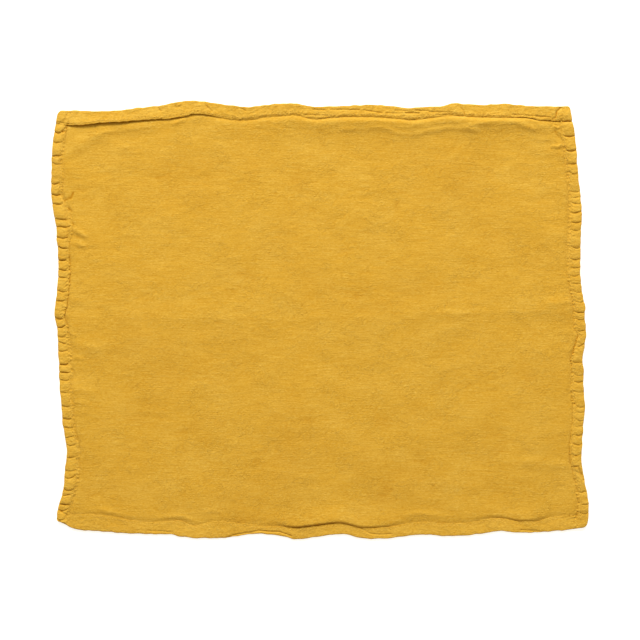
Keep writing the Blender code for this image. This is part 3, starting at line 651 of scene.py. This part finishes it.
def hem_crinkle(hem, station, depth, inside, end):
    """The small creases in a hem's folded layers, most of them beside its stitching."""
    past = inside - read(hem.table, "hem", station)
    calm = 0.35 + 0.65 * smooth(end)
    swept = station + 3 * noise(station / 9, inside / 7, hem.seed + 9)
    curls = 0.15 * noise(swept / 4.1, (inside + 0.5 * swept) / 4.6, hem.seed + 2)
    if hem.upright:
        crimp = stitch_crimp(station, past + STITCH_INSET, hem.seed)
        crinkle = HEM_CRINKLE * seam_crinkle(station, past, hem.seed)
        return calm * (crinkle + 1.2 * curls + crimp)
    curls = curls + 0.20 * ridges(swept / 8, (inside + 0.2 * swept) / 4.2, hem.seed + 4)
    across_it = ridges(station / 3.3, depth * 1.4 + 4, hem.seed + 4)
    return hem.rough * (curls + 0.34 * across_it * bell(past, 4.5))


def hem_top(hem, along, depth):
    """The points of a hem's upper surface, and its relief there."""
    x, y = hem_place(hem, along, depth)
    station = y if hem.upright else x
    width = read(hem.table, "hem", station)
    lip = read(hem.table, "lip", station)
    inside = depth * width
    end = np.minimum(along, 3 - along)
    grain = (wave(HEM_GRAIN, x, y, hem.seed) + wave(HEM_WAVE, x, y, hem.seed)
             + line_relief(HEM_CREASES, x, y) + hem_crinkle(hem, station, depth, inside, end))
    puckers = np.zeros_like(x)
    if hem.gathers:
        puckers = gathered(hem.gathers, hem.ends, y, depth, hem.seed)
    ragged = (0.5 + noise(station / 8, depth * 0 + 3.5, hem.seed + 6)) * hem.rough
    pull = np.cos(math.pi * station / STITCH_PITCH) ** 4
    groove = bell(inside - (width - STITCH_INSET), GROOVE_WIDTH)
    groove = groove * (GROOVE_DEPTH + GROOVE_PULL * pull) * ragged
    raised = read(hem.table, "lift", station) * np.clip(depth, 0, 1) ** 1.6
    body = cloth_height(x, y) + CLOTH_THICK
    corner = CORNER_RISE * np.clip(1.3 - end, 0, 1) ** 0.5 * (1 if hem.upright else 0)
    thinned = (FLAT_LIP - CRISP_LIP * lip) * smooth((depth - hem.thins) / (1 - hem.thins))
    layers = HEM_LAYERS * (1 - thinned)
    melt = lip + (1 - lip) * smooth((width - inside) / MELT) if hem.upright else 1
    height = body + raised + (layers + grain + puckers + corner - groove) * melt
    height = np.maximum(height, body + raised + 0.04 + 0.2 * lip)
    outer = np.clip(inside / EDGE_RADIUS, 0, 1)
    rolled = LIP_RADIUS * (1 + 1.9 * np.clip(raised, 0, 1.2) + 1.2 * (1 - lip) ** 2)
    inner = np.clip((width - inside) / rolled, 0, 1)
    middle = GROUND + (height - GROUND) * 0.5
    lip_middle = body + raised + corner + (height - body - raised - corner) * 0.45
    height = middle + (height - middle) * np.sqrt(1 - (1 - outer) ** 2)
    rounded_lip = lip_middle + (height - lip_middle) * np.sqrt(1 - (1 - inner) ** 2)
    height = np.where(inner < 1, rounded_lip, height)
    if hem.upright:
        from_end = np.clip(from_ends(x, y) / EDGE_RADIUS, 0, 1)
        height = GROUND + (height - GROUND) * (0.5 + 0.5 * np.sqrt(1 - (1 - from_end) ** 2))
    x, y = rounded(x, y)
    drawn = SCALLOP * np.clip(-puckers, 0, 1) * np.clip(1 - inside / SCALLOP_REACH, 0, 1)
    x, y = drawn_in(hem, x, y, drawn + hem_wander(hem, station, depth))
    # painted shade along the hem's inner lip, dotted along a side hem; the stitching groove,
    # creases and gathers' valleys are painted darker as shade too, and HEM_WEAR rubs the hem
    # lighter
    painted_lip_shade = 0.7 * SEAM_PAINTED_SHADE * lip * bell(width - inside, 0.6)
    if hem.upright:
        between = 0.35 + 0.65 * np.cos(math.pi * station / STITCH_PITCH) ** 2
        painted_lip_shade = SIDE_SEAM_PAINTED_SHADE * (0.12 + lip) * between
        painted_lip_shade = painted_lip_shade * bell(width - inside - 0.2, 0.5)
    return np.stack([x, y, height], -1), 0.4 * (puckers + grain) - groove - painted_lip_shade + HEM_WEAR


def hem_wander(hem, station, depth):
    """How far the hem's two long edges stray inwards from their smooth lines."""
    inner = noise(station / 5.0, station * 0 + 2.5, hem.seed + 7)
    inner = inner + 0.6 * noise(station / 2.3, station * 0 + 6.5, hem.seed + 7)
    outer = noise(station / 6.0, station * 0 + 9.5, hem.seed + 7)
    depth = np.clip(depth, 0, 1)
    stray = 0.8 if hem.upright else 0.45
    return stray * inner * depth ** 3 + 0.45 * outer * (1 - depth) ** 3


def above_mean(heights, reach):
    """How far each row's heights stand above the mean of the rows round it."""
    padded = np.pad(heights, ((reach + 1, reach), (0, 0)), mode="edge")
    total = np.cumsum(padded, axis=0)
    span = 2 * reach + 1
    return heights - (total[span:] - total[:-span]) / span


def make_hem(hem, steps, material):
    """A hem as a closed, flattened tube with a rounded outer edge and inner lip."""
    hidden = 0.0 if hem.upright else 0.10
    along = graded(((hidden, 1, HEM_END_STEPS), (1, 2, steps), (2, 3 - hidden, HEM_END_STEPS)))
    depths = graded(((0, 0.02, 2), (0.02, 0.14, 6), (0.14, 0.60, 16), (0.60, 0.93, 20),
                     (0.93, 1.0, 6)))[::-1]
    grid_along, grid_depth = np.meshgrid(along, depths, indexing="ij")
    top, relief = hem_top(hem, grid_along, grid_depth)
    # painted shade in the hem's hollows, and its tops rubbed lighter
    relief = relief + HOLLOW_PAINTED_SHADE * above_mean(top[..., 2], 7)
    # the lower side: under the rounded edge, then along the cloth
    low_depths = np.array([0.01, 0.05, 0.14, 0.45, 0.75, 0.90, 0.97])
    grid_along, grid_depth = np.meshgrid(along, low_depths, indexing="ij")
    x, y = hem_place(hem, grid_along, grid_depth)
    station = y if hem.upright else x
    raised = read(hem.table, "lift", station) * grid_depth ** 1.6
    on_cloth = cloth_height(x, y) + CLOTH_THICK * 0.7 + raised
    under_edge = GROUND * np.interp(grid_depth, (0.0, 0.05, 1.0), (1.6, 0.4, 0.4))
    if hem.upright:
        # its ends come down to the table, over the ends of the other two hems
        past_wall = smooth((from_ends(x, y) - END_WALL) / END_WALL)
        on_cloth = under_edge + (on_cloth - under_edge) * past_wall
    low = np.where(grid_depth < 0.1, under_edge, on_cloth)
    x, y = rounded(x, y)
    x, y = drawn_in(hem, x, y, hem_wander(hem, station, grid_depth))
    bottom = np.stack([x, y, low], -1)
    ring = np.concatenate([top, bottom], 1)
    faces = grid_faces(*ring.shape[:2], flip=hem.high != hem.upright, tube=True)
    relief = np.concatenate([relief, np.zeros(bottom.shape[:2])], 1)
    return new_piece(hem.name, ring.reshape(-1, 3), faces, material, relief)


def stitch_mesh(start, end, side):
    """One stitch of thread: a short round bead that dips into the cloth at both ends."""
    t = np.linspace(0, 1, STITCH_RINGS)
    spine = start + (end - start) * t[:, None]
    spine[:, 2] += STITCH_ARCH * np.sin(math.pi * t) - STITCH_SINK
    radius = THREAD_RADIUS * np.sqrt(np.clip(1 - (2 * t - 1) ** 6, 0.05, 1))
    ahead = (end - start) / np.linalg.norm(end - start)
    out = np.cross(ahead, side)
    angle = np.arange(STITCH_SIDES) * 2 * math.pi / STITCH_SIDES
    ring = (np.cos(angle)[None, :, None] * side + np.sin(angle)[None, :, None] * out)
    return (spine[:, None] + ring * radius[:, None, None]).reshape(-1, 3)


def make_stitching(hems, material):
    """The line of stitching along the inner side of each hem, seen from above."""
    points, faces = [], []
    for hem in hems:
        marks = stops_along(np.array([0.0])) if hem.upright else stops_across(np.array([0.0]))
        length = float(marks[2, 0] - marks[1, 0])
        count = int(length / STITCH_PITCH)
        for k in range(count):
            ends = []
            for offset in (0.0, STITCH_LENGTH / STITCH_PITCH):
                along = 1 + (k + offset) / count
                width = hem_width(hem, along)
                place, _ = hem_top(hem, np.array([along]), np.array([1 - STITCH_INSET / width]))
                ends.append(place[0])
            start, end = np.array(ends)
            side = np.array([1.0, 0, 0]) if hem.upright else np.array([0, 1.0, 0])
            first = len(points) * STITCH_SIDES * STITCH_RINGS
            points.append(stitch_mesh(start, end, side))
            faces += grid_faces(STITCH_RINGS, STITCH_SIDES, first=first, tube=True)
    points = np.concatenate(points)
    return new_piece("stitching", points, faces, material, np.zeros(len(points)))


def hem_width(hem, along):
    x, y = hem_place(hem, np.array([along]), np.array([1.0]))
    return float(read(hem.table, "hem", y if hem.upright else x)[0])


# ---------------------------------------------------------------- materials

class Nodes:
    """A material's node tree, with short calls to add to it."""

    def __init__(self, name):
        self.material = bpy.data.materials.new(name)
        self.material.use_nodes = True
        self.tree = self.material.node_tree
        self.shader = self.tree.nodes["Principled BSDF"]

    def add(self, kind, values=(), **settings):
        node = self.tree.nodes.new(kind)
        for key, value in settings.items():
            setattr(node, key, value)
        for key, value in dict(values).items():
            self.put(node.inputs[key], value)
        return node

    def put(self, socket, value):
        if isinstance(value, bpy.types.NodeSocket):
            self.tree.links.new(value, socket)
        else:
            socket.default_value = value

    def math(self, operation, first, second=0.0):
        return self.add("ShaderNodeMath", {0: first, 1: second}, operation=operation).outputs[0]

    def total(self, *parts):
        value = parts[0]
        for part in parts[1:]:
            value = self.math("ADD", value, part)
        return value

    def scaled(self, source, per_mm):
        """Coordinates in steps of the pattern, from metres."""
        scale = tuple(part / MM for part in per_mm)
        return self.add("ShaderNodeMapping", {"Vector": source, "Scale": scale}).outputs[0]

    def noise(self, source, per_mm, detail=2.0, rough=0.5):
        vector = self.scaled(source, per_mm)
        return self.add("ShaderNodeTexNoise", {"Vector": vector, "Scale": 1.0, "Detail": detail,
                                               "Roughness": rough}).outputs["Fac"]

    def mix(self, share, first, second):
        node = self.add("ShaderNodeMix", data_type="RGBA")
        self.put(node.inputs["Factor"], share)
        self.put(node.inputs[6], first)
        self.put(node.inputs[7], second)
        return node.outputs[2]

    def remap(self, value, low, high, to_high=1.0, to_low=0.0):
        return self.add("ShaderNodeMapRange", {"Value": value, "From Min": low, "From Max": high,
                                               "To Min": to_low, "To Max": to_high}).outputs[0]


def linen_material():
    """Plain-woven, stone-washed linen with slubs, rubbed dye, painted shade in its hollows and
    creases, and a dry surface.
    """
    n = Nodes("linen")
    place = n.add("ShaderNodeTexCoord").outputs["Object"]
    sway = n.noise(place, (0.09, 0.09, 0.09), 1.0)
    wander = n.add("ShaderNodeVectorMath", {0: place, 1: n.add(
        "ShaderNodeCombineXYZ", {0: n.math("MULTIPLY", sway, 0.0016),
                                 1: n.math("MULTIPLY", sway, -0.0013)}).outputs[0]}).outputs[0]

    # the weave: warp up and down, weft across, each over the other in turn
    yarn = 0.62             # millimetres from one yarn to the next
    split = n.add("ShaderNodeSeparateXYZ", {0: wander}).outputs
    turn_x = n.math("MULTIPLY", split[0], math.pi / yarn / MM)
    turn_y = n.math("MULTIPLY", split[1], math.pi / yarn / MM)
    sin_x, sin_y = n.math("SINE", turn_x), n.math("SINE", turn_y)
    over = n.remap(n.math("MULTIPLY", sin_x, sin_y), -0.5, 0.5)
    warp = n.math("POWER", n.math("ABSOLUTE", n.math("COSINE", turn_x)), 0.7)
    weft = n.math("POWER", n.math("ABSOLUTE", n.math("COSINE", turn_y)), 0.7)
    weave = n.math("ADD", n.math("MULTIPLY", warp, over),
                   n.math("MULTIPLY", weft, n.math("SUBTRACT", 1.0, over)))

    # slubs: thick places in the yarn, long across and shorter up and down
    slub_across = n.remap(n.noise(wander, (0.19, 1.0, 0.5), 2.5, 0.6), 0.54, 0.78)
    slub_along = n.remap(n.noise(wander, (1.5, 0.22, 0.5), 2.0, 0.6), 0.54, 0.80)
    curl = n.noise(place, (0.23, 0.23, 0.2), 2.0)
    curled = n.add("ShaderNodeVectorMath", {0: place, 1: n.add(
        "ShaderNodeCombineXYZ", {0: n.math("MULTIPLY", curl, 0.008),
                                 1: n.math("MULTIPLY", curl, 0.011)}).outputs[0]}).outputs[0]
    pebble = n.noise(curled, (0.34, 0.80, 0.6), 4.0, 0.70)
    fibre = n.noise(wander, (0.44, 1.70, 0.6), 1.5, 0.6)
    streak = n.noise(wander, (0.065, 1.25, 0.6), 1.0, 0.5)
    vein = n.noise(curled, (0.16, 0.24, 0.2), 3.0, 0.6)
    vein = n.math("POWER", n.math("SUBTRACT", 1.0, n.math("ABSOLUTE", n.remap(
        vein, 0.30, 0.70, 1.0, -1.0))), 7.0)
    vein = n.math("MULTIPLY", vein, n.remap(n.noise(place, (0.05, 0.06, 0.05), 1.0), 0.45, 0.62))
    mottle = n.noise(place, (0.030, 0.045, 0.03), 2.0)
    cloud = n.noise(place, (0.010, 0.012, 0.01), 1.0)

    relief = n.add("ShaderNodeAttribute", attribute_name="relief").outputs["Fac"]
    worn = n.total(
        n.remap(relief, 0.25, 1.3, 0.22), n.math("MULTIPLY", slub_across, 0.30),
        n.remap(mottle, 0.42, 0.70, 0.20), n.remap(pebble, 0.50, 0.72, 0.30),
        n.remap(fibre, 0.52, 0.75, 0.56), n.remap(streak, 0.50, 0.72, 0.28))
    # the relief below 0 paints shade into hollows, creases and seams; the noises are the dye's
    # own unevenness
    deep = n.total(
        n.remap(relief, -0.1, -0.9, 0.85), n.remap(pebble, 0.47, 0.30, 0.30),
        n.remap(fibre, 0.48, 0.25, 0.34), n.remap(streak, 0.50, 0.28, 0.17),
        n.remap(cloud, 0.50, 0.30, 0.12))
    # painted shade in the sharpest creases and along crisp seams
    crease_shade = n.remap(relief, -0.9, -2.2, 0.8)
    colour = n.mix(worn, (*CLOTH_COLOUR, 1), (*WORN_COLOUR, 1))
    colour = n.mix(deep, colour, (*DYE_AND_SHADE_COLOUR, 1))
    n.put(n.shader.inputs["Base Color"], n.mix(crease_shade, colour, (*CREASE_SHADE_COLOUR, 1)))

    height = n.math("MULTIPLY", weave, 0.00010)
    rough = n.remap(n.noise(place, (0.028, 0.036, 0.03), 2.0), 0.36, 0.64, 0.00078, 0.00036)
    for part, size in ((slub_across, 0.00010), (slub_along, 0.00010), (pebble, rough),
                       (vein, 0.00022), (fibre, 0.00015), (streak, 0.00014)):
        height = n.math("ADD", height, n.math("MULTIPLY", part, size))
    bump = n.add("ShaderNodeBump", {"Height": height, "Distance": 1.0, "Strength": 0.9})
    n.put(n.shader.inputs["Normal"], bump.outputs[0])
    n.shader.inputs["Roughness"].default_value = 0.93
    n.shader.inputs["Specular IOR Level"].default_value = 0.15
    n.shader.inputs["Sheen Weight"].default_value = 0.12
    n.shader.inputs["Sheen Roughness"].default_value = 0.55
    n.shader.inputs["Sheen Tint"].default_value = (1.0, 0.83, 0.52, 1.0)
    return n.material


def thread_material():
    """Matt sewing thread in the cloth's own colour, with its twist."""
    n = Nodes("thread")
    place = n.add("ShaderNodeTexCoord").outputs["Object"]
    twist = n.noise(place, (3.5, 3.5, 3.5), 2.0)
    n.put(n.shader.inputs["Base Color"],
          n.mix(twist, (*THREAD_COLOUR, 1), (*WORN_COLOUR, 1)))
    height = n.math("MULTIPLY", twist, 0.00008)
    bump = n.add("ShaderNodeBump", {"Height": height, "Distance": 1.0, "Strength": 0.8})
    n.put(n.shader.inputs["Normal"], bump.outputs[0])
    n.shader.inputs["Roughness"].default_value = 0.8
    n.shader.inputs["Specular IOR Level"].default_value = 0.3
    return n.material


def floor_material():
    n = Nodes("floor")
    n.shader.inputs["Base Color"].default_value = (0.70, 0.70, 0.70, 1)
    n.shader.inputs["Roughness"].default_value = 0.95
    n.shader.inputs["Specular IOR Level"].default_value = 0.1
    n.shader.inputs["Emission Color"].default_value = (0.94, 0.98, 1, 1)
    n.shader.inputs["Emission Strength"].default_value = 0.62
    return n.material


# ---------------------------------------------------------------- stage

def make_camera():
    """Straight above the mat, as in the photograph."""
    frame_width, lens, sensor = 0.5517, 85.0, 36.0
    camera = bpy.data.objects.new("camera", bpy.data.cameras.new("camera"))
    camera.data.lens = lens
    camera.data.sensor_width = sensor
    camera.location = (0.0, 0.0, frame_width * lens / sensor)
    bpy.context.scene.collection.objects.link(camera)
    bpy.context.scene.camera = camera


def add_light(name, place, size, power, tint):
    light = bpy.data.lights.new(name, "AREA")
    light.shape = "RECTANGLE"
    light.size, light.size_y = size
    light.energy = power
    light.color = tint
    lamp = bpy.data.objects.new(name, light)
    lamp.location = place
    x, y, z = place
    lamp.rotation_euler = (-math.atan2(y, z), math.atan2(x, math.hypot(y, z)), 0.0)
    bpy.context.scene.collection.objects.link(lamp)


def make_stage():
    """A plain pale floor under soft light that comes from the top of the picture."""
    half = 12.0
    mesh = bpy.data.meshes.new("floor")
    mesh.from_pydata([(-half, -half, 0), (half, -half, 0), (half, half, 0), (-half, half, 0)],
                     [], [(0, 1, 2, 3)])
    mesh.materials.append(floor_material())
    floor = bpy.data.objects.new("floor", mesh)
    bpy.context.scene.collection.objects.link(floor)
    add_light("key", (-0.20, 2.50, 1.60), (2.6, 1.0), 131.0, (1.0, 0.995, 0.99))
    world = bpy.data.worlds.new("studio")
    world.use_nodes = True
    background = world.node_tree.nodes["Background"]
    background.inputs["Color"].default_value = (1.0, 0.90, 0.70, 1)
    background.inputs["Strength"].default_value = 0.62
    bpy.context.scene.world = world
    bpy.context.scene.view_settings.view_transform = "Standard"


# ---------------------------------------------------------------- the placemat

def main():
    make_camera()
    make_stage()
    linen = linen_material()
    ends = (-CUT_DEPTH / 2, CUT_DEPTH / 2)
    hems = [
        Hem("hem_left", LEFT_EDGE, LEFT_GATHERS, ends, False, True, 1.1, 0.55, 21),
        Hem("hem_right", RIGHT_EDGE, RIGHT_GATHERS, ends, True, True, 1.1, 0.55, 22),
        Hem("hem_bottom", BOTTOM_EDGE, None, ends, False, False, 0.4, 0.10, 33),
        Hem("hem_top", TOP_EDGE, None, ends, True, False, 1.0, 0.80, 37),
    ]
    cloth = make_cloth(linen)
    bands = [make_hem(hem, HEM_STEPS, linen) for hem in hems]
    stitching = make_stitching(hems, thread_material())
    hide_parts("placemat")


main()
